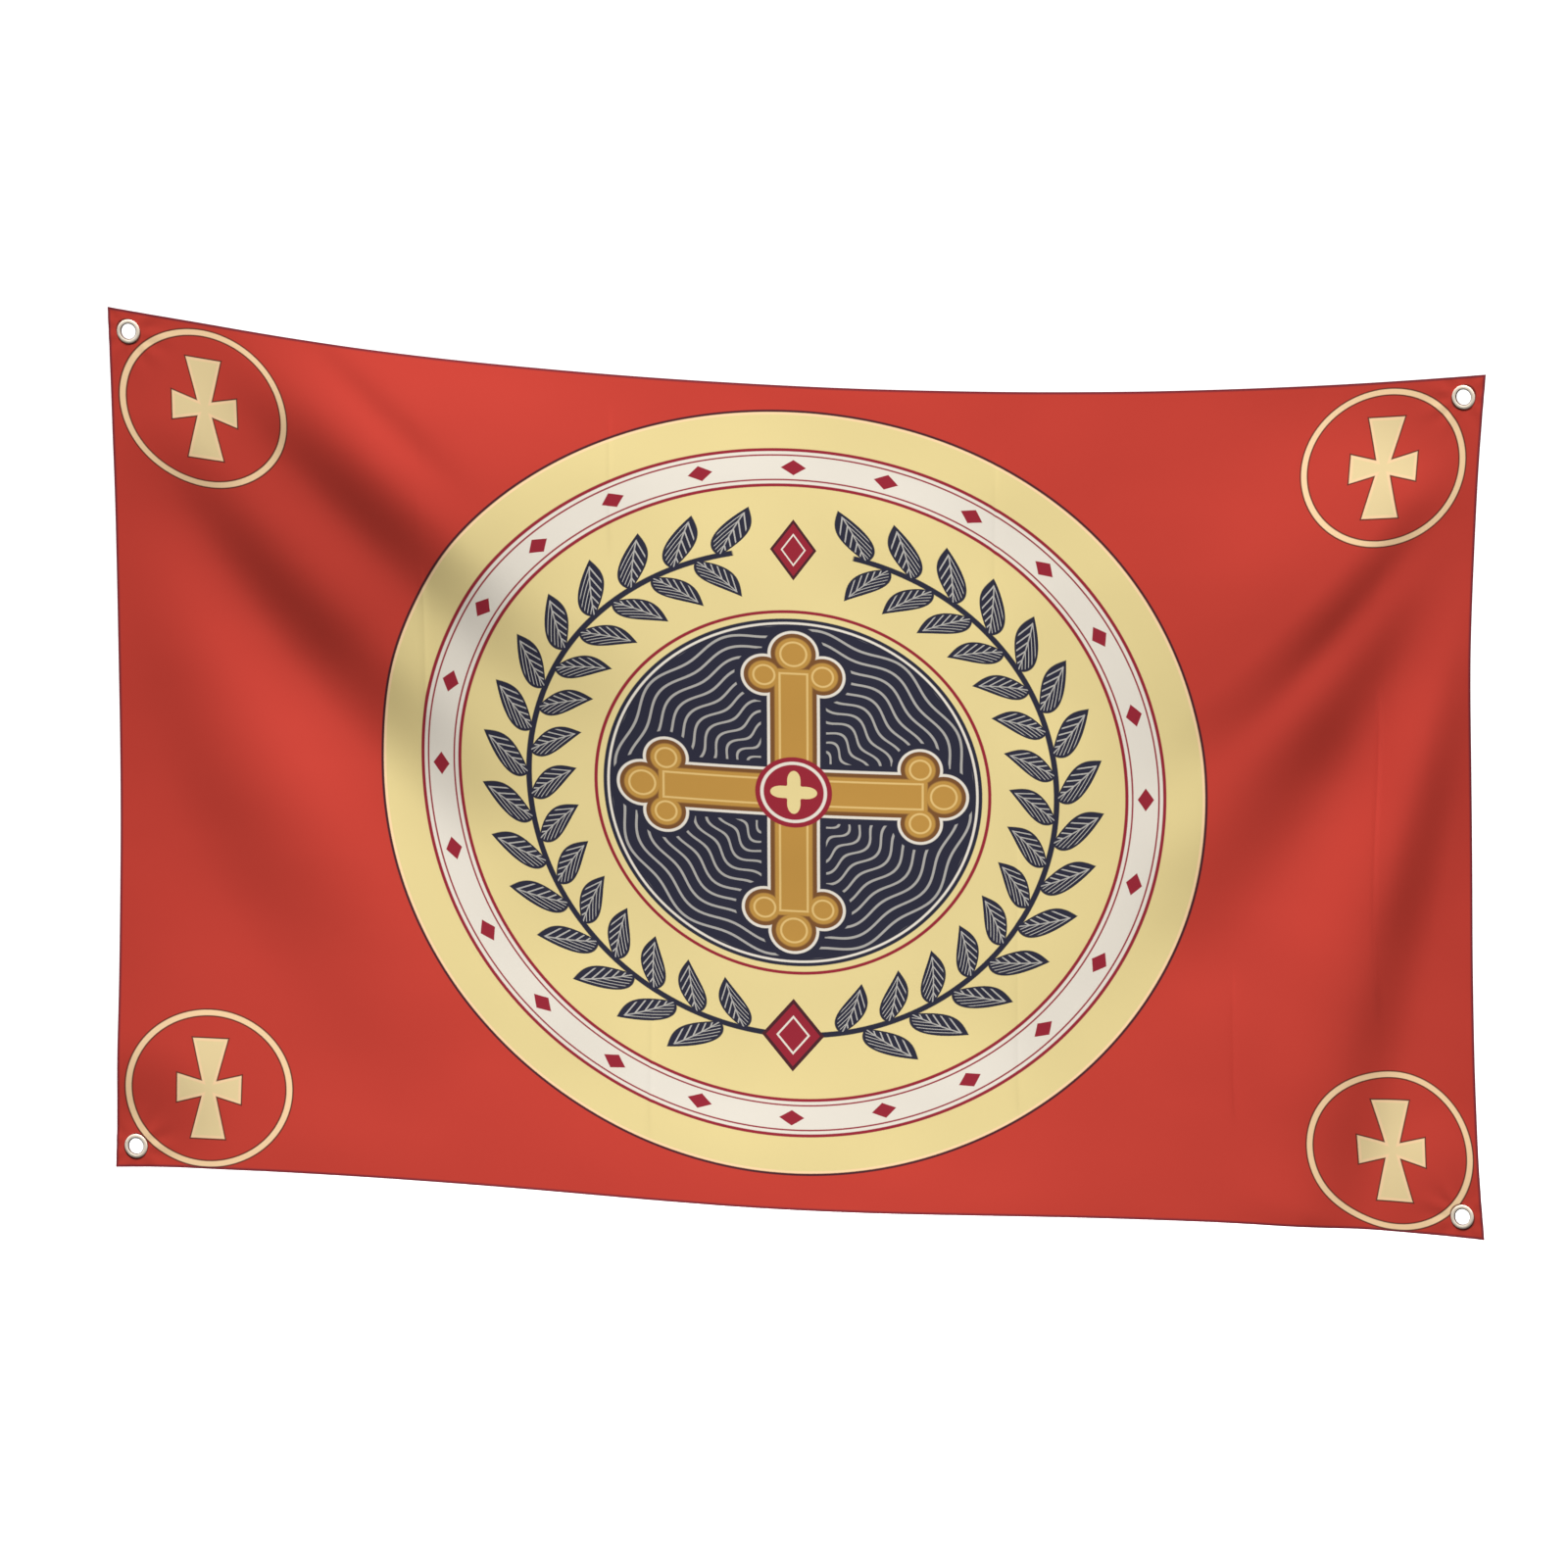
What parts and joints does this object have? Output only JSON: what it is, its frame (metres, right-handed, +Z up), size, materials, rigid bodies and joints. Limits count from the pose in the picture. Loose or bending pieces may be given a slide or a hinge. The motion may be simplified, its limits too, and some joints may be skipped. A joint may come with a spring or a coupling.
{
  "type": "church banner",
  "caption": "Wide satin cloth banner with a large round printed emblem, hung by metal eyelets in its corners so that its top edge sags and folds run down from the upper corners.",
  "frame": {"origin": "the middle of the hung cloth's top edge", "axes": "+X to the right of someone who looks at the printed face, +Y from that face to the back, +Z up"},
  "size_m": [1.5, 0.0394, 0.905],
  "materials": {
    "cloth": "thin red satin with a soft sheen",
    "eyelet_metal": "pale, smooth and rolled"
  },
  "bodies": {
    "root": {"cloth_panel": "cloth", "cloth_corner_top_left": "cloth", "cloth_corner_top_right": "cloth", "cloth_corner_bottom_left": "cloth", "cloth_corner_bottom_right": "cloth", "eyelet_top_left": "eyelet_metal", "eyelet_top_right": "eyelet_metal", "eyelet_bottom_left": "eyelet_metal", "eyelet_bottom_right": "eyelet_metal"}
  },
  "joints": []
}
